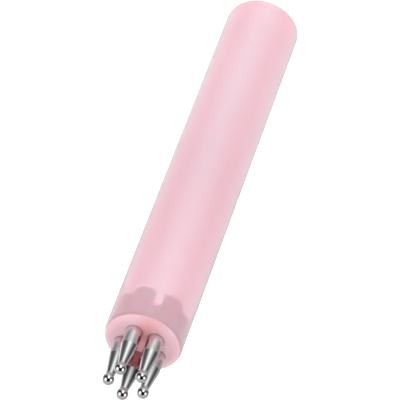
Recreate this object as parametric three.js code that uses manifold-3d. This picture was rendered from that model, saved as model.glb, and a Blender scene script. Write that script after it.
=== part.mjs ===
// A nail dotting tool: a solid acrylic rod with five turned steel pins in its front face.
// Each pin is a shank, a taper and a ball, and one touch of the five balls prints a flower of dots.
//
// Frame: millimetres, +Z up. The origin is the centre of the rod's flat rear face, on which the tool
// stands. +Z runs along the rod to the balls.

import * as THREE from "three";
import { mergeVertices } from "three/addons/utils/BufferGeometryUtils.js";
import Module from "manifold-3d";

// Driving dimensions of the handle
const handleDiameter = 10;
const handleLength = 62;
const frontEdgeRadius = 1.1;
const rearEdgeRadius = 0.9;

// Driving dimensions of one pin, from its inner end to its ball
const pinEmbedded = 6; // the part of the shank that sits in the handle
const leadChamfer = 0.25; // 45 degree lead-in on the inner end
const shankDiameter = 2.1;
const shankExposed = 2.6; // plain shank between the handle's face and the taper
const taperLength = 3.3;
const ballDiameter = 1.5;
const ballStep = 0.25; // how far the ball stands proud of the neck all round
const neckFillet = 0.12; // hollow radius where the taper runs into the ball

// The pattern of pins
const pinCount = 5;
const pinGap = 0.7; // clear space between the shanks of two neighbours
const firstPinAngle = Math.PI / 2; // the first pin stands towards +Y

// Fit of a pin in its bore
const boreClearance = 0.03; // all round the shank
const endClearance = 0.05; // between the pin's inner end and the end of the full bore
const drillPointAngle = THREE.MathUtils.degToRad(118);

// Facets round the axis and along the arcs. Both counts are multiples of four, so that the widest
// facets' corners lie on the axes of the frame
const handleFacets = 96;
const pinFacets = 40;
const edgeSteps = 6;
const filletSteps = 3;
const ballSteps = 12;

// Places that follow from the sizes above
const faceZ = handleLength;
const pinCircleRadius = (shankDiameter + pinGap) / (2 * Math.sin(Math.PI / pinCount));
const ballRadius = ballDiameter / 2;
const neckRadius = ballRadius - ballStep;
const taperStart = shankExposed;
const taperEnd = taperStart + taperLength;
const ballCentre = taperEnd + Math.sqrt(ballRadius ** 2 - neckRadius ** 2);

const acrylic = new THREE.MeshStandardMaterial({
  color: "#f0c3cf",
  roughness: 0.18,
  metalness: 0,
});
const polishedSteel = new THREE.MeshStandardMaterial({
  color: "#c4c6c9",
  roughness: 0.1,
  metalness: 1,
});

/** Points of an arc in the (radius, height) plane, both ends included, angles in radians. */
function arc(radius, height, size, from, to, steps) {
  return Array.from({ length: steps + 1 }, (_, i) => {
    const angle = from + ((to - from) * i) / steps;
    return new THREE.Vector2(radius + size * Math.cos(angle), height + size * Math.sin(angle));
  });
}

/** A profile of (radius, height) points turned about Z, from its lowest point on the axis up. */
function turned(profile, facets) {
  return new THREE.LatheGeometry(profile, facets).rotateX(Math.PI / 2);
}

/** The rod before drilling: flat ends with a rounded edge each. */
function rodBlank() {
  const radius = handleDiameter / 2;
  const profile = [
    new THREE.Vector2(0, 0),
    ...arc(radius - rearEdgeRadius, rearEdgeRadius, rearEdgeRadius, -Math.PI / 2, 0, edgeSteps),
    ...arc(radius - frontEdgeRadius, faceZ - frontEdgeRadius, frontEdgeRadius, 0, Math.PI / 2, edgeSteps),
    new THREE.Vector2(0, faceZ),
  ];
  return turned(profile, handleFacets);
}

/** What the drill takes out for one pin: a blind bore with a drill point, open past the face. */
function drilledBore() {
  const radius = shankDiameter / 2 + boreClearance;
  const shoulder = -pinEmbedded - endClearance;
  const point = shoulder - radius / Math.tan(drillPointAngle / 2);
  const pastFace = shankExposed / 2;
  const profile = [
    new THREE.Vector2(0, point),
    new THREE.Vector2(radius, shoulder),
    new THREE.Vector2(radius, pastFace),
    new THREE.Vector2(0, pastFace),
  ];
  return turned(profile, pinFacets);
}

/** The hollow fillet that meets the straight taper and the ball at a tangent. */
function neckArc() {
  const shankRadius = shankDiameter / 2;
  const slope = Math.atan2(shankRadius - neckRadius, taperLength);
  const reach = ballRadius + neckFillet;
  const offset = shankRadius * Math.cos(slope) + taperStart * Math.sin(slope) + neckFillet;
  const toFillet = slope - Math.acos((offset - ballCentre * Math.sin(slope)) / reach);
  const centreRadius = reach * Math.cos(toFillet);
  const centreHeight = ballCentre + reach * Math.sin(toFillet);
  return {
    onBall: toFillet,
    points: arc(centreRadius, centreHeight, neckFillet, slope + Math.PI, toFillet + Math.PI, filletSteps),
  };
}

/** One pin, turned from a single bar, with height zero at the handle's face. */
function pinBody() {
  const shankRadius = shankDiameter / 2;
  const innerEnd = -pinEmbedded;
  const neck = neckArc();
  const profile = [
    new THREE.Vector2(0, innerEnd),
    new THREE.Vector2(shankRadius - leadChamfer, innerEnd),
    new THREE.Vector2(shankRadius, innerEnd + leadChamfer),
    new THREE.Vector2(shankRadius, taperStart),
    ...neck.points,
    ...arc(0, ballCentre, ballRadius, neck.onBall, Math.PI / 2, ballSteps).slice(1),
  ];
  profile.at(-1).x = 0;
  return turned(profile, pinFacets);
}

/** Where each pin's axis crosses the handle's face. */
function pinPlaces() {
  return Array.from({ length: pinCount }, (_, i) => {
    const angle = firstPinAngle + (2 * Math.PI * i) / pinCount;
    return new THREE.Vector3(
      pinCircleRadius * Math.cos(angle),
      pinCircleRadius * Math.sin(angle),
      faceZ,
    );
  });
}

const wasm = await Module();
wasm.setup();

/** A closed geometry as a solid that can be cut. */
function toSolid(geometry) {
  const bare = geometry.clone();
  bare.deleteAttribute("normal");
  bare.deleteAttribute("uv");
  const merged = mergeVertices(bare);
  return new wasm.Manifold(
    new wasm.Mesh({
      numProp: 3,
      vertProperties: Float32Array.from(merged.attributes.position.array),
      triVerts: Uint32Array.from(merged.index.array),
    }),
  );
}

/** A solid as a geometry that can be shown. */
function toGeometry(solid) {
  const mesh = solid.getMesh();
  const geometry = new THREE.BufferGeometry();
  geometry.setAttribute("position", new THREE.BufferAttribute(mesh.vertProperties, mesh.numProp));
  geometry.setIndex(new THREE.BufferAttribute(mesh.triVerts, 1));
  geometry.computeVertexNormals();
  return geometry;
}

/** The handle: the rod with a blind bore for each pin. */
function drilledHandle(places) {
  const bore = drilledBore();
  return places.reduce(
    (rod, place) => rod.subtract(toSolid(bore.clone().translate(place.x, place.y, place.z))),
    toSolid(rodBlank()),
  );
}

const places = pinPlaces();
const tool = new THREE.Group();

const handle = new THREE.Mesh(toGeometry(drilledHandle(places)), acrylic);
handle.name = "handle";
tool.add(handle);

const pinGeometry = pinBody();
places.forEach((place, i) => {
  const pin = new THREE.Mesh(pinGeometry, polishedSteel);
  pin.name = `dotting_pin_${i + 1}`;
  pin.position.copy(place);
  tool.add(pin);
});

export default tool;
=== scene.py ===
"""A nail dotting tool in a white studio: a milky acrylic rod with a ring of turned steel pins.

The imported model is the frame. It stands on its rear face at the origin, with +Z along the handle to
the balls, in metres. The handle and the pins are modelled here at the frame's sizes, finer than the
faceted solids that they stand for.
"""

import logging
import math
from collections.abc import Callable, Iterator
from contextlib import contextmanager
from dataclasses import dataclass, field
from enum import Enum

import bmesh
import bpy
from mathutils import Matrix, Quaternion, Vector


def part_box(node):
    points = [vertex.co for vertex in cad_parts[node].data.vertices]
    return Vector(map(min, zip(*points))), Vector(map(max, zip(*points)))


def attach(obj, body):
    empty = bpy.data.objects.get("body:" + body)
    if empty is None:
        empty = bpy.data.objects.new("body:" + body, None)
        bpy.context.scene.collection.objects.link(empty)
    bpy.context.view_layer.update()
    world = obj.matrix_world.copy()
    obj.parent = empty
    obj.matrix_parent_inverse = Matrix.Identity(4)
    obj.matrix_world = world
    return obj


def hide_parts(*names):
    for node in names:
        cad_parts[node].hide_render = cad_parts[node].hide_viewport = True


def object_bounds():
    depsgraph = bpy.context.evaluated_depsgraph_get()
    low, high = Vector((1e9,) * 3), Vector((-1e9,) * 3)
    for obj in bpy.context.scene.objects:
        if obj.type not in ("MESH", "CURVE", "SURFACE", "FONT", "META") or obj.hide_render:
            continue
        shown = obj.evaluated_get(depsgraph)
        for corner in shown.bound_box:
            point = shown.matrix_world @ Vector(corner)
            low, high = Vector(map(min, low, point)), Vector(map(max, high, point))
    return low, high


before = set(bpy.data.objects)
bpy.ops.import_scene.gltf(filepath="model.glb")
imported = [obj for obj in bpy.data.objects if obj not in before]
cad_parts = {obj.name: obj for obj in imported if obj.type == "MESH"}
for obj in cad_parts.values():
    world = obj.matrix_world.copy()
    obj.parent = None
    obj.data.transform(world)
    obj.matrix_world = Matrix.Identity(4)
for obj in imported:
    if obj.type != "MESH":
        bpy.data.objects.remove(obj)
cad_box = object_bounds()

log = logging.getLogger("dotting_tool")

MM = 0.001

# Places closer than a hair are the same place
HAIR = 1e-4 * MM

# A cut through a ball's facet leaves its corner this close to the true ball
NEAR = 0.01 * MM

# Edges sharper than this, in degrees, stay sharp
CREASE = 30.0

# A wave texture of scale one turns by this many radians in a metre
WAVE_TURN = 20.0

# How many ways the shader looks to find out how open a place is
OPENNESS_SAMPLES = 16

# Where a Mix node keeps its inputs and outputs, as several of them share a name
FLOAT_A, FLOAT_B, MIXED_FLOAT = 2, 3, 0
COLOUR_A, COLOUR_B, MIXED_COLOUR = 6, 7, 2


class Slot(Enum):
    """The record's material slots."""

    ACRYLIC = "milky_pink_acrylic"
    STEEL = "polished_steel"


class Element(Enum):
    """What a selection picks, as the mesh operators name it."""

    VERTEX = "VERT"
    EDGE = "EDGE"
    FACE = "FACE"


def linear(hex_colour: str) -> tuple[float, float, float, float]:
    """Turns an sRGB hex colour into the linear colour that shaders take.

    Args:
        hex_colour: Six hex digits after a number sign.

    Returns:
        Red, green, blue and an alpha of one.
    """
    channels = (int(hex_colour[i : i + 2], 16) / 255 for i in (1, 3, 5))
    red, green, blue = (c / 12.92 if c <= 0.04045 else ((c + 0.055) / 1.055) ** 2.4 for c in channels)
    return (red, green, blue, 1.0)


def add_node(
    tree: bpy.types.NodeTree, kind: str, inputs: dict[int | str, object] | None = None, **settings: object
) -> bpy.types.Node:
    """Adds a node to a shader tree, with its settings, values and links.

    Args:
        tree: The tree that gets the node.
        kind: The node's type name.
        inputs: For each input, by name or number, a value to set or an output socket to link.
        settings: Properties of the node itself.

    Returns:
        The new node.
    """
    node = tree.nodes.new(kind)
    for name, value in settings.items():
        setattr(node, name, value)
    for name, value in (inputs or {}).items():
        if isinstance(value, bpy.types.NodeSocket):
            tree.links.new(value, node.inputs[name])
        else:
            node.inputs[name].default_value = value
    return node


def crowding(
    tree: bpy.types.NodeTree, reach: float, open_shares: tuple[float, float]
) -> bpy.types.NodeSocket:
    """Adds a measure of how closely other surfaces stand round a place, which sets where shade and
    reflections of shade are painted.

    Args:
        tree: The shader tree.
        reach: How near a surface has to be to count.
        open_shares: The open share of the surroundings at which crowding starts, and where it is full.

    Returns:
        Zero in the open and one where the painted shade and painted reflections are full.
    """
    openness = add_node(
        tree, "ShaderNodeAmbientOcclusion", {"Distance": reach}, samples=OPENNESS_SAMPLES
    )
    starts, full = open_shares
    return add_node(
        tree,
        "ShaderNodeMapRange",
        {"Value": openness.outputs["AO"], "From Min": starts, "From Max": full},
    ).outputs["Result"]


def point_at(azimuth: float, elevation: float) -> Vector:
    """Gives the unit vector from the tool towards a place in the studio.

    Args:
        azimuth: Degrees round the tool from -Y towards +X.
        elevation: Degrees above the horizon.

    Returns:
        The direction.
    """
    a = math.radians(azimuth)
    e = math.radians(elevation)
    return Vector((math.sin(a) * math.cos(e), -math.cos(a) * math.cos(e), math.sin(e)))


@contextmanager
def editing(piece: bpy.types.Object) -> Iterator[bpy.types.Object]:
    """Opens a piece for mesh operators with nothing selected, and closes it again.

    Args:
        piece: The object to edit.

    Yields:
        The same object.
    """
    bpy.ops.object.select_all(action="DESELECT")
    piece.select_set(True)
    bpy.context.view_layer.objects.active = piece
    bpy.ops.object.mode_set(mode="EDIT")
    bpy.ops.mesh.select_all(action="DESELECT")
    yield piece
    bpy.ops.object.mode_set(mode="OBJECT")


def select_where(piece: bpy.types.Object, element: Element, test: Callable[[Vector], bool]) -> None:
    """Selects the vertices, edges or faces whose every corner passes a test, and nothing else.

    Args:
        piece: The object being edited.
        element: The kind of element to select.
        test: Takes a corner's place and says whether it passes.
    """
    bpy.ops.mesh.select_all(action="DESELECT")
    bpy.ops.mesh.select_mode(type=element.value)
    mesh = bmesh.from_edit_mesh(piece.data)
    if element is Element.VERTEX:
        for vertex in mesh.verts:
            vertex.select_set(test(vertex.co))
    elif element is Element.EDGE:
        for edge in mesh.edges:
            edge.select_set(all(test(v.co) for v in edge.verts))
    else:
        for face in mesh.faces:
            face.select_set(all(test(v.co) for v in face.verts))
    mesh.select_flush_mode()
    bmesh.update_edit_mesh(piece.data)


def new_primitive(name: str, add: Callable[..., object], **settings: object) -> bpy.types.Object:
    """Adds a primitive to start a piece from, with its place moved into its mesh.

    Args:
        name: The new object's name.
        add: The operator that adds the primitive.
        settings: The operator's settings.

    Returns:
        The new object, at the origin.
    """
    bpy.ops.object.select_all(action="DESELECT")
    add(**settings)
    piece = bpy.context.object
    piece.name = name
    piece.data.name = name
    bpy.ops.object.transform_apply(location=True, rotation=True, scale=True)
    return piece


def copy_to(piece: bpy.types.Object, name: str, place: Vector) -> bpy.types.Object:
    """Copies a piece with a mesh of its own, moved in the mesh.

    Args:
        piece: The piece to copy.
        name: The copy's name.
        place: How far the copy moves.

    Returns:
        The copy, at the origin.
    """
    bpy.ops.object.select_all(action="DESELECT")
    piece.select_set(True)
    bpy.context.view_layer.objects.active = piece
    bpy.ops.object.duplicate(linked=False)
    copy = bpy.context.object
    copy.name = name
    copy.data.name = name
    copy.location = place
    bpy.ops.object.transform_apply(location=True, rotation=True, scale=True)
    return copy


def smooth(piece: bpy.types.Object) -> None:
    """Shades a piece smooth, apart from its sharp edges."""
    bpy.ops.object.select_all(action="DESELECT")
    piece.select_set(True)
    bpy.context.view_layer.objects.active = piece
    bpy.ops.object.shade_smooth_by_angle(angle=math.radians(CREASE))


def put_in_place(piece: bpy.types.Object, node: str, finish: bpy.types.Material) -> None:
    """Gives a finished piece its material and its body, and hides the CAD node that it stands for.

    Args:
        piece: The finished piece.
        node: The CAD node that it replaces.
        finish: Its material.
    """
    piece.data.materials.clear()
    piece.data.materials.append(finish)
    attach(piece, "root")
    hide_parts(node)
    log.info("%s: %d faces, %s", piece.name, len(piece.data.polygons), finish.name)


@dataclass(frozen=True)
class MilkyAcrylic:
    """Cast acrylic rod, milky pink, turned to length and polished.

    Part of the light scatters just under the surface, so it looks soft and even. The rest passes
    through, so that the pins show faintly inside. The rod is milkier towards its rear end, which hides
    the far edge there. A broad highlight is painted down the middle of the rod as a pale stripe
    between deeper pink ones, over faint random clouds in the pigment. Near the front the painted
    highlight gives way to an even, slightly deeper tone, as painted shade of the pins inside. The cut
    front scatters nearly all of the light. Shade is painted on it: a deeper, redder oval in the
    middle between the pins, and a deep red right against them, where light goes to and fro. A faint
    sheen lifts the edges, and the polish is a little hazy, which blurs what it mirrors.
    """

    # The pigment, with a pale stripe painted down the rod's middle as a highlight, and faintly clouded at
    # random
    pale: str = "#fcdbe5"
    deep: str = "#fbcad6"
    highlight_stripe_gap: float = 6.2 * MM
    highlight_stripe_phase: float = 2.74
    highlight_stripe_bend: float = 0.6
    highlight_stripe_detail: float = 1.0
    painted_highlight_end: float = 60 * MM
    painted_highlight_fade: float = 3 * MM
    painted_shade_near_front: float = 0.35
    cloud_size: float = 5 * MM
    cloud_detail: float = 3.0
    cloud_grain: float = 0.45
    cloud_share: float = 0.2

    # The cut front, with painted shade: a deeper, redder oval in the middle and deep red against the pins
    front: str = "#f3cbd4"
    front_starts: float = 61.4 * MM
    # Painted shade: the deeper, redder oval between the pins, its colour and its shape
    painted_shade_oval: str = "#ffb4bb"
    painted_shade_oval_centre: tuple[float, float] = (0.0, -1.2 * MM)
    painted_shade_oval_stretch: float = 2.0
    painted_shade_oval_core: float = 0.9 * MM
    painted_shade_oval_edge: float = 2.3 * MM
    front_colour_fade: float = 0.4 * MM
    # Painted shade: deep red right against the pins, where they keep light off the front
    painted_shade_between_pins: str = "#d8606a"
    painted_shade_reach: float = 0.6 * MM
    painted_shade_open_shares: tuple[float, float] = (0.6, 0.3)

    # The light under the surface, and the share that passes through
    milkiness: float = 1.0
    glow_spread: tuple[float, float, float] = (1.0, 0.75, 0.7)
    glow_depth: float = 0.3 * MM
    clear_side: float = 0.46
    clear_front: float = 0.06
    front_fade: float = 0.18 * MM
    clear_rear: float = 0.2
    rear_ends: float = 12 * MM
    rear_fade: float = 38 * MM
    ior: float = 1.49

    # The polish
    smoothest: float = 0.02
    roughest: float = 0.05
    haze_size: float = 0.6 * MM
    haze_detail: float = 4.0
    ripple_size: float = 2.5 * MM
    ripple_depth: float = 0.004 * MM
    fuzz: float = 0.45
    fuzz_roughness: float = 0.4

    def pigment(
        self, tree: bpy.types.NodeTree, place: bpy.types.NodeSocket, height: bpy.types.NodeSocket
    ) -> bpy.types.NodeSocket:
        """Adds the pigment's colour with its painted highlight stripe, evened out near the front as
        painted shade.

        Args:
            tree: The shader tree.
            place: The coordinates on the rod.
            height: The height above the rear face.

        Returns:
            The colour.
        """
        # A pale stripe down the rod's middle between deeper pink ones: a painted highlight
        highlight_stripes = add_node(
            tree,
            "ShaderNodeTexWave",
            {
                "Vector": place,
                "Scale": 2 * math.pi / (WAVE_TURN * self.highlight_stripe_gap),
                "Phase Offset": self.highlight_stripe_phase,
                "Distortion": self.highlight_stripe_bend,
                "Detail": self.highlight_stripe_detail,
            },
        )
        # Near the front the painted highlight stops and an even, deeper tone stands in, as painted shade
        # of the pins inside
        past = add_node(
            tree,
            "ShaderNodeMapRange",
            {
                "Value": height,
                "From Min": self.painted_highlight_end - self.painted_highlight_fade,
                "From Max": self.painted_highlight_end,
            },
            interpolation_type="SMOOTHSTEP",
        )
        highlight_stripes_evened = add_node(
            tree,
            "ShaderNodeMix",
            {
                "Factor": past.outputs["Result"],
                FLOAT_A: highlight_stripes.outputs["Fac"],
                FLOAT_B: self.painted_shade_near_front,
            },
            data_type="FLOAT",
        )
        clouds = add_node(
            tree,
            "ShaderNodeTexNoise",
            {
                "Vector": place,
                "Scale": 1 / self.cloud_size,
                "Detail": self.cloud_detail,
                "Roughness": self.cloud_grain,
            },
        )
        highlight_and_clouds = add_node(
            tree,
            "ShaderNodeMix",
            {
                "Factor": self.cloud_share,
                FLOAT_A: highlight_stripes_evened.outputs[MIXED_FLOAT],
                FLOAT_B: clouds.outputs["Fac"],
            },
            data_type="FLOAT",
        )
        return add_node(
            tree,
            "ShaderNodeMix",
            {
                "Factor": highlight_and_clouds.outputs[MIXED_FLOAT],
                COLOUR_A: linear(self.deep),
                COLOUR_B: linear(self.pale),
            },
            data_type="RGBA",
        ).outputs[MIXED_COLOUR]

    def front_colour(self, tree: bpy.types.NodeTree, place: bpy.types.NodeSocket) -> bpy.types.NodeSocket:
        """Adds the cut front's colour, with a deeper, redder oval of painted shade in the middle between
        the pins.

        Args:
            tree: The shader tree.
            place: The coordinates on the rod.

        Returns:
            The colour.
        """
        x, y = self.painted_shade_oval_centre
        # Painted shade: an oval in the middle of the front, between the pins
        from_centre = add_node(
            tree,
            "ShaderNodeMapping",
            {
                "Vector": place,
                "Location": (-x, -y / self.painted_shade_oval_stretch, 0.0),
                "Scale": (1.0, 1 / self.painted_shade_oval_stretch, 0.0),
            },
        )
        distance = add_node(
            tree, "ShaderNodeVectorMath", {0: from_centre.outputs["Vector"]}, operation="LENGTH"
        )
        painted_shade_oval_share = add_node(
            tree,
            "ShaderNodeMapRange",
            {
                "Value": distance.outputs["Value"],
                "From Min": self.painted_shade_oval_edge,
                "From Max": self.painted_shade_oval_core,
            },
            interpolation_type="SMOOTHSTEP",
        )
        return add_node(
            tree,
            "ShaderNodeMix",
            {
                "Factor": painted_shade_oval_share.outputs["Result"],
                COLOUR_A: linear(self.front),
                COLOUR_B: linear(self.painted_shade_oval),
            },
            data_type="RGBA",
        ).outputs[MIXED_COLOUR]

    def colour(
        self, tree: bpy.types.NodeTree, place: bpy.types.NodeSocket, height: bpy.types.NodeSocket
    ) -> bpy.types.NodeSocket:
        """Adds the whole colour: the pigment with its painted highlight, the cut front with its painted
        shade, and the painted shade deep against the pins.

        Args:
            tree: The shader tree.
            place: The coordinates on the rod.
            height: The height above the rear face.

        Returns:
            The colour.
        """
        near_front = add_node(
            tree,
            "ShaderNodeMapRange",
            {
                "Value": height,
                "From Min": self.front_starts - self.front_colour_fade,
                "From Max": self.front_starts,
            },
        )
        in_the_open = add_node(
            tree,
            "ShaderNodeMix",
            {
                "Factor": near_front.outputs["Result"],
                COLOUR_A: self.pigment(tree, place, height),
                COLOUR_B: self.front_colour(tree, place),
            },
            data_type="RGBA",
        )
        # Painted shade where the pins crowd the front
        return add_node(
            tree,
            "ShaderNodeMix",
            {
                "Factor": crowding(tree, self.painted_shade_reach, self.painted_shade_open_shares),
                COLOUR_A: in_the_open.outputs[MIXED_COLOUR],
                COLOUR_B: linear(self.painted_shade_between_pins),
            },
            data_type="RGBA",
        ).outputs[MIXED_COLOUR]

    def clearness(self, tree: bpy.types.NodeTree, height: bpy.types.NodeSocket) -> bpy.types.NodeSocket:
        """Adds the share of the light that passes through, less at the rear and least at the front.

        Args:
            tree: The shader tree.
            height: The height above the rear face.

        Returns:
            The share.
        """
        along_side = add_node(
            tree,
            "ShaderNodeMapRange",
            {
                "Value": height,
                "From Min": self.rear_ends,
                "From Max": self.rear_ends + self.rear_fade,
                "To Min": self.clear_rear,
                "To Max": self.clear_side,
            },
            interpolation_type="SMOOTHSTEP",
        )
        return add_node(
            tree,
            "ShaderNodeMapRange",
            {
                "Value": height,
                "From Min": self.front_starts,
                "From Max": self.front_starts + self.front_fade,
                "To Min": along_side.outputs["Result"],
                "To Max": self.clear_front,
            },
        ).outputs["Result"]

    def material(self) -> bpy.types.Material:
        """Builds the shader.

        Returns:
            The material.
        """
        finish = bpy.data.materials.new("cast_milky_acrylic")
        finish.use_nodes = True
        tree = finish.node_tree
        tree.nodes.clear()
        place = add_node(tree, "ShaderNodeTexCoord").outputs["Object"]
        height = add_node(tree, "ShaderNodeSeparateXYZ", {0: place}).outputs["Z"]
        haze = add_node(
            tree,
            "ShaderNodeTexNoise",
            {"Vector": place, "Scale": 1 / self.haze_size, "Detail": self.haze_detail},
        )
        roughness = add_node(
            tree,
            "ShaderNodeMapRange",
            {"Value": haze.outputs["Fac"], "To Min": self.smoothest, "To Max": self.roughest},
        )
        ripple = add_node(tree, "ShaderNodeTexNoise", {"Vector": place, "Scale": 1 / self.ripple_size})
        bump = add_node(
            tree, "ShaderNodeBump", {"Height": ripple.outputs["Fac"], "Distance": self.ripple_depth}
        )
        shader = add_node(
            tree,
            "ShaderNodeBsdfPrincipled",
            {
                "Base Color": self.colour(tree, place, height),
                "Roughness": roughness.outputs["Result"],
                "IOR": self.ior,
                "Subsurface Weight": self.milkiness,
                "Subsurface Radius": self.glow_spread,
                "Subsurface Scale": self.glow_depth,
                "Transmission Weight": self.clearness(tree, height),
                "Sheen Weight": self.fuzz,
                "Sheen Roughness": self.fuzz_roughness,
                "Normal": bump.outputs["Normal"],
            },
        )
        add_node(tree, "ShaderNodeOutputMaterial", {"Surface": shader.outputs["BSDF"]})
        return finish


@dataclass(frozen=True)
class PolishedSteel:
    """Stainless steel, turned on a lathe and polished to a mirror.

    The tool's feed leaves rings round each pin, and polishing takes all but a trace of them. They
    stretch a reflection a little along the pin. Their real spacing is too fine to show, so they are
    drawn coarser. The shanks are left satin, which blurs what they mirror of the handle's face. The
    neck under each ball is duller still, as a polishing wheel doesn't get into the hollow. The pins
    don't mirror one another, so where they crowd one another a painted reflection of the shaded gap
    stands in: the shanks are painted a dull red-brown there and the tapers a darker grey.
    """

    # The metal's own colour, and the painted reflections of shade where the pins crowd one another
    bright: str = "#e8e7e9"
    dull: str = "#dad9dc"
    # Painted reflections of the shaded gap, on the shanks and the tapers
    painted_shank_reflection: str = "#be9799"
    painted_taper_reflection: str = "#525055"
    painted_shade_reach: float = 3.5 * MM
    painted_shade_open_shares: tuple[float, float] = (0.68, 0.28)

    # The rings of the feed, stretched round the pin
    feed: float = 0.05 * MM
    feed_depth: float = 0.0001 * MM
    feed_detail: float = 2.0
    change_across: float = 0.05

    # The polish, by height above the handle's rear face
    smoothest: float = 0.05
    roughest: float = 0.1
    satin: float = 0.26
    satin_ends: float = 64.5 * MM
    satin_fade: float = 0.2 * MM
    unpolished: float = 0.5
    neck: float = 68 * MM
    neck_reach: float = 0.35 * MM

    def colour(
        self, tree: bpy.types.NodeTree, rings: bpy.types.NodeSocket, on_shank: bpy.types.NodeSocket
    ) -> bpy.types.NodeSocket:
        """Adds the steel's colour, with painted reflections of shade where the pins crowd one another.

        Args:
            tree: The shader tree.
            rings: The pattern of the feed.
            on_shank: One on the shank and zero past it.

        Returns:
            The colour.
        """
        polished = add_node(
            tree,
            "ShaderNodeMix",
            {"Factor": rings, COLOUR_A: linear(self.bright), COLOUR_B: linear(self.dull)},
            data_type="RGBA",
        )
        # Painted reflection of the shaded gap between the pins: red-brown on the shanks, grey on the
        # tapers
        painted_shade_between_pins = add_node(
            tree,
            "ShaderNodeMix",
            {
                "Factor": on_shank,
                COLOUR_A: linear(self.painted_taper_reflection),
                COLOUR_B: linear(self.painted_shank_reflection),
            },
            data_type="RGBA",
        )
        return add_node(
            tree,
            "ShaderNodeMix",
            {
                "Factor": crowding(tree, self.painted_shade_reach, self.painted_shade_open_shares),
                COLOUR_A: polished.outputs[MIXED_COLOUR],
                COLOUR_B: painted_shade_between_pins.outputs[MIXED_COLOUR],
            },
            data_type="RGBA",
        ).outputs[MIXED_COLOUR]

    def roughness(
        self,
        tree: bpy.types.NodeTree,
        rings: bpy.types.NodeSocket,
        on_shank: bpy.types.NodeSocket,
        height: bpy.types.NodeSocket,
    ) -> bpy.types.NodeSocket:
        """Adds the polish: satin shank, mirror taper and ball, and dull neck.

        Args:
            tree: The shader tree.
            rings: The pattern of the feed.
            on_shank: One on the shank and zero past it.
            height: The height above the handle's rear face.

        Returns:
            The roughness.
        """
        mirror = add_node(
            tree,
            "ShaderNodeMapRange",
            {"Value": rings, "To Min": self.smoothest, "To Max": self.roughest},
        )
        polished = add_node(
            tree,
            "ShaderNodeMix",
            {"Factor": on_shank, FLOAT_A: mirror.outputs["Result"], FLOAT_B: self.satin},
            data_type="FLOAT",
        )
        in_neck = add_node(
            tree, "ShaderNodeMath", {0: height, 1: self.neck, 2: self.neck_reach}, operation="COMPARE"
        )
        return add_node(
            tree,
            "ShaderNodeMix",
            {
                "Factor": in_neck.outputs["Value"],
                FLOAT_A: polished.outputs[MIXED_FLOAT],
                FLOAT_B: self.unpolished,
            },
            data_type="FLOAT",
        ).outputs[MIXED_FLOAT]

    def material(self) -> bpy.types.Material:
        """Builds the shader.

        Returns:
            The material.
        """
        finish = bpy.data.materials.new("turned_stainless_steel")
        finish.use_nodes = True
        tree = finish.node_tree
        tree.nodes.clear()
        place = add_node(tree, "ShaderNodeTexCoord").outputs["Object"]
        height = add_node(tree, "ShaderNodeSeparateXYZ", {0: place}).outputs["Z"]
        along = add_node(
            tree,
            "ShaderNodeMapping",
            {"Vector": place, "Scale": (self.change_across, self.change_across, 1.0)},
        )
        rings = add_node(
            tree,
            "ShaderNodeTexNoise",
            {"Vector": along.outputs["Vector"], "Scale": 1 / self.feed, "Detail": self.feed_detail},
        ).outputs["Fac"]
        on_shank = add_node(
            tree,
            "ShaderNodeMapRange",
            {
                "Value": height,
                "From Min": self.satin_ends + self.satin_fade,
                "From Max": self.satin_ends,
            },
        ).outputs["Result"]
        bump = add_node(tree, "ShaderNodeBump", {"Height": rings, "Distance": self.feed_depth})
        shader = add_node(
            tree,
            "ShaderNodeBsdfPrincipled",
            {
                "Base Color": self.colour(tree, rings, on_shank),
                "Metallic": 1.0,
                "Roughness": self.roughness(tree, rings, on_shank, height),
                "Normal": bump.outputs["Normal"],
            },
        )
        add_node(tree, "ShaderNodeOutputMaterial", {"Surface": shader.outputs["BSDF"]})
        return finish


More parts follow.
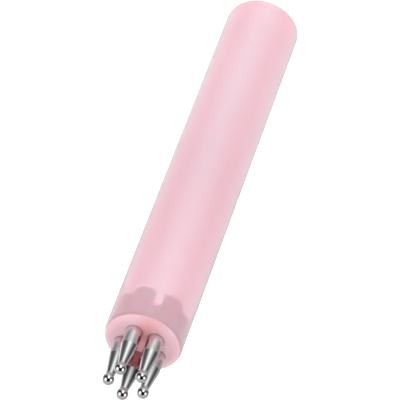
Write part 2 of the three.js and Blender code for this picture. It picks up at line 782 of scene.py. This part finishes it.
@dataclass
class DottingPin:
    """One pin: lead-in chamfer, shank, taper, neck and ball, turned from one bar.

    Heights are measured from the handle's face. The shank's diameter and depth come from the frame.
    """

    shank_diameter: float
    embedded: float
    lead_chamfer: float = 0.25 * MM
    shank_exposed: float = 2.6 * MM
    taper_length: float = 3.3 * MM
    ball_diameter: float = 1.5 * MM
    ball_step: float = 0.25 * MM
    neck_fillet: float = 0.12 * MM
    fillet_steps: int = 6
    shoulder_round: float = 0.05 * MM
    shoulder_segments: int = 3
    turns: int = 96
    ball_points: int = 96

    @property
    def ball_centre(self) -> float:
        """Height of the ball's centre."""
        ball = self.ball_diameter / 2
        neck = ball - self.ball_step
        return self.shank_exposed + self.taper_length + math.sqrt(ball**2 - neck**2)

    def neck_profile(self) -> tuple[float, list[Vector]]:
        """Works out the hollow fillet that meets the taper and the ball at a tangent.

        Returns:
            The angle at which it meets the ball, and its points from the ball to the taper.
        """
        shank = self.shank_diameter / 2
        ball = self.ball_diameter / 2
        slope = math.atan2(shank - (ball - self.ball_step), self.taper_length)
        offset = shank * math.cos(slope) + self.shank_exposed * math.sin(slope) + self.neck_fillet
        reach = ball + self.neck_fillet
        on_ball = slope - math.acos((offset - self.ball_centre * math.sin(slope)) / reach)
        centre = Vector((reach * math.cos(on_ball), 0, self.ball_centre + reach * math.sin(on_ball)))
        points = []
        for i in range(1, self.fillet_steps + 1):
            angle = math.pi + on_ball + (slope - on_ball) * i / self.fillet_steps
            points.append(centre + self.neck_fillet * Vector((math.cos(angle), 0, math.sin(angle))))
        return on_ball, points

    def build(self) -> bpy.types.Object:
        """Models the pin on the Z axis, with the handle's face at height zero.

        The ball starts as a circle, cut to the arc from its top to the neck. The rest of the profile is
        extruded from the neck, and the whole is spun.

        Returns:
            The pin.
        """
        shank = self.shank_diameter / 2
        ball = self.ball_diameter / 2
        on_ball, neck = self.neck_profile()
        start = Vector((ball * math.cos(on_ball), 0, self.ball_centre + ball * math.sin(on_ball)))
        rest_of_profile = [
            *neck,
            Vector((shank, 0, self.shank_exposed)),
            Vector((shank, 0, self.lead_chamfer - self.embedded)),
            Vector((shank - self.lead_chamfer, 0, -self.embedded)),
            Vector((0, 0, -self.embedded)),
        ]
        pin = new_primitive(
            "dotting_pin",
            bpy.ops.mesh.primitive_circle_add,
            vertices=self.ball_points,
            radius=ball,
            location=(0, 0, self.ball_centre),
            rotation=(math.pi / 2, 0, 0),
        )
        with editing(pin):
            for cut, keep in (((0, 0, 0), (1, 0, 0)), ((0, 0, start.z), (0, 0, 1))):
                bpy.ops.mesh.select_all(action="SELECT")
                bpy.ops.mesh.bisect(plane_co=cut, plane_no=keep, clear_inner=True, threshold=HAIR)
            select_where(pin, Element.VERTEX, lambda co: (co - start).length < NEAR)
            here = start
            for corner in rest_of_profile:
                bpy.ops.mesh.extrude_vertices_move(TRANSFORM_OT_translate={"value": corner - here})
                here = corner
            bpy.ops.mesh.select_all(action="SELECT")
            bpy.ops.mesh.spin(steps=self.turns, angle=2 * math.pi, center=(0, 0, 0), axis=(0, 0, 1))
            bpy.ops.mesh.select_all(action="SELECT")
            bpy.ops.mesh.remove_doubles(threshold=HAIR)
            bpy.ops.mesh.normals_make_consistent(inside=False)
            select_where(pin, Element.EDGE, lambda co: abs(co.z - self.shank_exposed) < HAIR)
            bpy.ops.mesh.bevel(offset=self.shoulder_round, segments=self.shoulder_segments)
        smooth(pin)
        return pin


@dataclass
class Handle:
    """The solid rod, with rounded ends and a blind bore for each pin.

    The bores are tighter than the solids', because a wider gap shows as too dark a line round a pin.
    """

    diameter: float
    length: float
    front_edge: float = 1.1 * MM
    rear_edge: float = 0.9 * MM
    bore_clearance: float = 0.015 * MM
    end_clearance: float = 0.05 * MM
    drill_point: float = 118.0
    facets: int = 256
    edge_segments: int = 16
    bore_facets: int = 96
    border: float = 0.04 * MM

    def cutter(self, pin: DottingPin, places: list[Vector]) -> bpy.types.Object:
        """Models what the drill takes out for all the pins.

        Args:
            pin: The pin that the bores are for.
            places: Where each pin's axis crosses the face.

        Returns:
            The drills as one object.
        """
        radius = pin.shank_diameter / 2 + self.bore_clearance
        depth = pin.embedded + self.end_clearance
        past_face = pin.shank_exposed / 2
        drill = new_primitive(
            "drill",
            bpy.ops.mesh.primitive_cylinder_add,
            vertices=self.bore_facets,
            radius=radius,
            depth=depth + past_face,
            location=(0, 0, (past_face - depth) / 2),
        )
        tip = -radius / math.tan(math.radians(self.drill_point / 2))
        with editing(drill):
            select_where(drill, Element.FACE, lambda co: co.z < HAIR - depth)
            bpy.ops.mesh.extrude_region_move(TRANSFORM_OT_translate={"value": (0, 0, tip)})
            bpy.ops.mesh.merge(type="CENTER")
            bpy.ops.mesh.select_all(action="SELECT")
            bpy.ops.mesh.normals_make_consistent(inside=False)
        drills = [copy_to(drill, f"drill_{i}", place) for i, place in enumerate(places)]
        bpy.data.objects.remove(drill)
        bpy.ops.object.select_all(action="DESELECT")
        for one in drills:
            one.select_set(True)
        bpy.context.view_layer.objects.active = drills[0]
        bpy.ops.object.join()
        return drills[0]

    def build(self, pin: DottingPin, places: list[Vector]) -> bpy.types.Object:
        """Models the drilled rod, standing on its rear face.

        Args:
            pin: The pin that the bores are for.
            places: Where each pin's axis crosses the face.

        Returns:
            The handle.
        """
        rod = new_primitive(
            "acrylic_handle",
            bpy.ops.mesh.primitive_cylinder_add,
            vertices=self.facets,
            radius=self.diameter / 2,
            depth=self.length,
            location=(0, 0, self.length / 2),
        )
        with editing(rod):
            for height, size in ((self.length, self.front_edge), (0.0, self.rear_edge)):
                select_where(rod, Element.EDGE, lambda co, z=height: abs(co.z - z) < HAIR)
                bpy.ops.mesh.bevel(offset=size, segments=self.edge_segments)
                select_where(rod, Element.FACE, lambda co, z=height: abs(co.z - z) < HAIR)
                bpy.ops.mesh.inset(thickness=self.border)
        drills = self.cutter(pin, places)
        boring = rod.modifiers.new("bores", "BOOLEAN")
        boring.operation = "DIFFERENCE"
        boring.solver = "EXACT"
        boring.object = drills
        bpy.context.view_layer.objects.active = rod
        bpy.ops.object.modifier_apply(modifier=boring.name)
        bpy.data.objects.remove(drills)
        smooth(rod)
        return rod


@dataclass
class DottingTool:
    """The whole tool, at the frame's sizes."""

    acrylic: MilkyAcrylic = field(default_factory=MilkyAcrylic)
    steel: PolishedSteel = field(default_factory=PolishedSteel)

    def build(self) -> None:
        """Models every piece, dresses it and puts it in place of its CAD node.

        The pins don't mirror one another, because crossing reflections hide their shape.
        """
        low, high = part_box("handle")
        handle = Handle(diameter=high.x - low.x, length=high.z - low.z)
        pins = sorted(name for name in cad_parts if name.startswith("dotting_pin"))
        boxes = [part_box(name) for name in pins]
        places = [Vector(((a.x + b.x) / 2, (a.y + b.y) / 2, high.z)) for a, b in boxes]
        first_low, first_high = boxes[0]
        pin = DottingPin(
            shank_diameter=first_high.x - first_low.x,
            embedded=high.z - first_low.z,
        )
        acrylic = self.acrylic.material()
        steel = self.steel.material()
        put_in_place(handle.build(pin, places), "handle", acrylic)
        pattern = pin.build()
        for name, place in zip(pins, places):
            one = copy_to(pattern, f"turned_{name}", place)
            one.visible_glossy = False
            put_in_place(one, name, steel)
        bpy.data.objects.remove(pattern)


@dataclass(frozen=True)
class Softbox:
    """A round studio lamp, aimed at the tips."""

    name: str
    azimuth: float
    elevation: float
    diameter: float
    radiance: float
    distance: float = 0.6

    def place(self, target: Vector) -> None:
        """Adds the lamp.

        Args:
            target: The point that it is aimed at.
        """
        way = point_at(self.azimuth, self.elevation)
        bpy.ops.object.light_add(type="AREA", location=target + way * self.distance)
        lamp = bpy.context.object
        lamp.name = self.name
        lamp.rotation_euler = way.to_track_quat("Z", "Y").to_euler()
        lamp.data.shape = "DISK"
        lamp.data.size = self.diameter
        area = math.pi * (self.diameter / 2) ** 2
        lamp.data.energy = self.radiance * math.pi * area
        lamp.visible_glossy = False


@dataclass(frozen=True)
class Panel:
    """A soft-edged light or dark area of the room, as polished surfaces mirror it.

    Its core and edge are angles in degrees, from its middle to where it starts and ends to fade.
    """

    azimuth: float
    elevation: float
    core: float
    edge: float
    level: float


@dataclass(frozen=True)
class Studio:
    """A glowing white table in a white room, with round softboxes and dark areas between them.

    The table glows enough to hide every shadow. Polished surfaces mirror the panels of the room, and
    not the table or the lamps, as when a tool is held up in the air in front of white paper. The fill
    light is brighter straight overhead, so that some of it gets down between the pins. The room's
    levels are on a pale grey wall, so white starts at 1.25.
    """

    floor_size: float = 20.0
    floor_glow: float = 1.15
    floor_glow_colour: str = "#ffffff"
    floor_paint: str = "#505050"
    floor_roughness: float = 0.9
    wall_paint: str = "#e7e7e7"
    backdrop: float = 1.3
    fill_level: float = 0.8
    fill_overhead: float = 4.0
    overhead_focus: float = 40.0
    walls: float = 0.72
    panels: tuple[Panel, ...] = (
        Panel(139, -24, 11, 19, 1.6),
        Panel(-133, -21, 39, 64, 0.55),
        Panel(42, -43, 4, 21, 1.0),
        Panel(73, -1, 3, 60, 0.04),
        Panel(-67, -13, 0, 43, 0.09),
        Panel(0, 34, 49, 63, 0.0),
        Panel(4, -25, 3, 24, 1.5),
        Panel(2, 2, 17, 27, 1.75),
        Panel(73, 38, 21, 31, 1.73),
        Panel(-63, 21, 16, 24, 2.15),
    )
    lamps: tuple[Softbox, ...] = (
        Softbox("front_softbox", 4, 2, 0.42, 0.9),
        Softbox("left_softbox", 64, 29, 0.40, 1.2),
        Softbox("right_softbox", -67, 35, 0.40, 1.2),
        Softbox("back_softbox", 125, 45, 0.40, 1.1),
    )

    def floor(self) -> None:
        """Lays the table's top."""
        bpy.ops.object.select_all(action="DESELECT")
        bpy.ops.mesh.primitive_plane_add(size=self.floor_size)
        floor = bpy.context.object
        floor.name = "floor"
        paint = bpy.data.materials.new("glowing_white_table")
        paint.use_nodes = True
        tree = paint.node_tree
        tree.nodes.clear()
        shader = add_node(
            tree,
            "ShaderNodeBsdfPrincipled",
            {
                "Base Color": linear(self.floor_paint),
                "Roughness": self.floor_roughness,
                "Emission Color": linear(self.floor_glow_colour),
                "Emission Strength": self.floor_glow,
            },
        )
        add_node(tree, "ShaderNodeOutputMaterial", {"Surface": shader.outputs["BSDF"]})
        floor.data.materials.append(paint)
        floor.visible_glossy = False

    def mirrored(self, tree: bpy.types.NodeTree, way: bpy.types.NodeSocket) -> bpy.types.NodeSocket:
        """Adds the room as polished surfaces mirror it: even walls with the panels over them.

        Args:
            tree: The room's shader tree.
            way: The direction looked in.

        Returns:
            The level of light.
        """
        level = add_node(tree, "ShaderNodeValue").outputs[0]
        level.default_value = self.walls
        for panel in self.panels:
            towards = add_node(
                tree,
                "ShaderNodeVectorMath",
                {0: way, 1: point_at(panel.azimuth, panel.elevation)},
                operation="DOT_PRODUCT",
            )
            cover = add_node(
                tree,
                "ShaderNodeMapRange",
                {
                    "Value": towards.outputs["Value"],
                    "From Min": math.cos(math.radians(panel.edge)),
                    "From Max": math.cos(math.radians(panel.core)),
                },
                interpolation_type="SMOOTHSTEP",
            )
            level = add_node(
                tree,
                "ShaderNodeMix",
                {"Factor": cover.outputs["Result"], FLOAT_A: level, FLOAT_B: panel.level},
                data_type="FLOAT",
            ).outputs[MIXED_FLOAT]
        return level

    def fill(self, tree: bpy.types.NodeTree, way: bpy.types.NodeSocket) -> bpy.types.NodeSocket:
        """Adds the fill light: even all round, and brighter straight overhead.

        Args:
            tree: The room's shader tree.
            way: The direction looked in.

        Returns:
            The level of light.
        """
        height = add_node(tree, "ShaderNodeSeparateXYZ", {0: way}).outputs["Z"]
        overhead = add_node(
            tree,
            "ShaderNodeMath",
            {0: height, 1: self.overhead_focus},
            operation="POWER",
            use_clamp=True,
        )
        return add_node(
            tree,
            "ShaderNodeMath",
            {0: overhead.outputs["Value"], 1: self.fill_overhead, 2: self.fill_level},
            operation="MULTIPLY_ADD",
        ).outputs["Value"]

    def room(self) -> None:
        """Paints the room.

        Scattered light comes from the fill and mirrored light from the panels. All else, such as what
        the camera sees past the tool or through the acrylic, is the plain white backdrop.
        """
        world = bpy.data.worlds.new("studio_room")
        bpy.context.scene.world = world
        world.use_nodes = True
        tree = world.node_tree
        tree.nodes.clear()
        way = add_node(tree, "ShaderNodeTexCoord").outputs["Generated"]
        path = add_node(tree, "ShaderNodeLightPath")
        scattered = add_node(
            tree, "ShaderNodeMath", {0: path.outputs["Diffuse Depth"], 1: 0.0}, operation="GREATER_THAN"
        ).outputs["Value"]
        bounced = add_node(
            tree,
            "ShaderNodeMath",
            {0: path.outputs["Is Glossy Ray"], 1: path.outputs["Is Reflection Ray"]},
            operation="MULTIPLY",
        )
        in_mirror = add_node(
            tree,
            "ShaderNodeMath",
            {0: bounced.outputs["Value"], 1: scattered},
            operation="SUBTRACT",
            use_clamp=True,
        )
        unmirrored = add_node(
            tree,
            "ShaderNodeMix",
            {"Factor": scattered, FLOAT_A: self.backdrop, FLOAT_B: self.fill(tree, way)},
            data_type="FLOAT",
        )
        level = add_node(
            tree,
            "ShaderNodeMix",
            {
                "Factor": in_mirror.outputs["Value"],
                FLOAT_A: unmirrored.outputs[MIXED_FLOAT],
                FLOAT_B: self.mirrored(tree, way),
            },
            data_type="FLOAT",
        )
        glow = add_node(
            tree,
            "ShaderNodeBackground",
            {"Color": linear(self.wall_paint), "Strength": level.outputs[MIXED_FLOAT]},
        )
        add_node(tree, "ShaderNodeOutputWorld", {"Surface": glow.outputs["Background"]})

    def build(self, target: Vector) -> None:
        """Sets up the table, the room and the lamps.

        Args:
            target: The point that the lamps are aimed at.
        """
        self.floor()
        self.room()
        for lamp in self.lamps:
            lamp.place(target)
        bpy.context.scene.view_settings.view_transform = "Standard"


@dataclass(frozen=True)
class PhotoCamera:
    """The camera at the photograph's viewing angle: above the tips, turned nearly upside down.

    Its angles are in degrees. Its focal length is in widths of the frame, which is 400 pixels wide.
    """

    aim: Vector = Vector((-0.38 * MM, 0, 35.2 * MM))
    distance: float = 409.1 * MM
    azimuth: float = 0.92
    elevation: float = 43.78
    roll: float = 159.1
    focal_length: float = 3157 / 400
    sensor_width: float = 36.0
    nearest: float = 10 * MM
    farthest: float = 100.0

    def build(self) -> None:
        """Adds the camera and makes it the scene's own."""
        way = point_at(self.azimuth, self.elevation)
        bpy.ops.object.camera_add(location=self.aim + way * self.distance)
        camera = bpy.context.object
        camera.name = "photo_camera"
        turned = way.to_track_quat("Z", "Y") @ Quaternion((0, 0, 1), -math.radians(self.roll))
        camera.rotation_euler = turned.to_euler()
        camera.data.sensor_width = self.sensor_width
        camera.data.lens = self.focal_length * self.sensor_width
        camera.data.clip_start = self.nearest
        camera.data.clip_end = self.farthest
        bpy.context.scene.camera = camera


def main() -> None:
    """Builds the tool, the studio and the camera."""
    logging.basicConfig(level=logging.INFO, format="%(name)s %(message)s")
    low, high = cad_box
    DottingTool().build()
    Studio().build(target=Vector((0, 0, high.z)))
    PhotoCamera().build()
    log.info("overall height %.2f mm", (high.z - low.z) / MM)


if __name__ == "__main__":
    main()
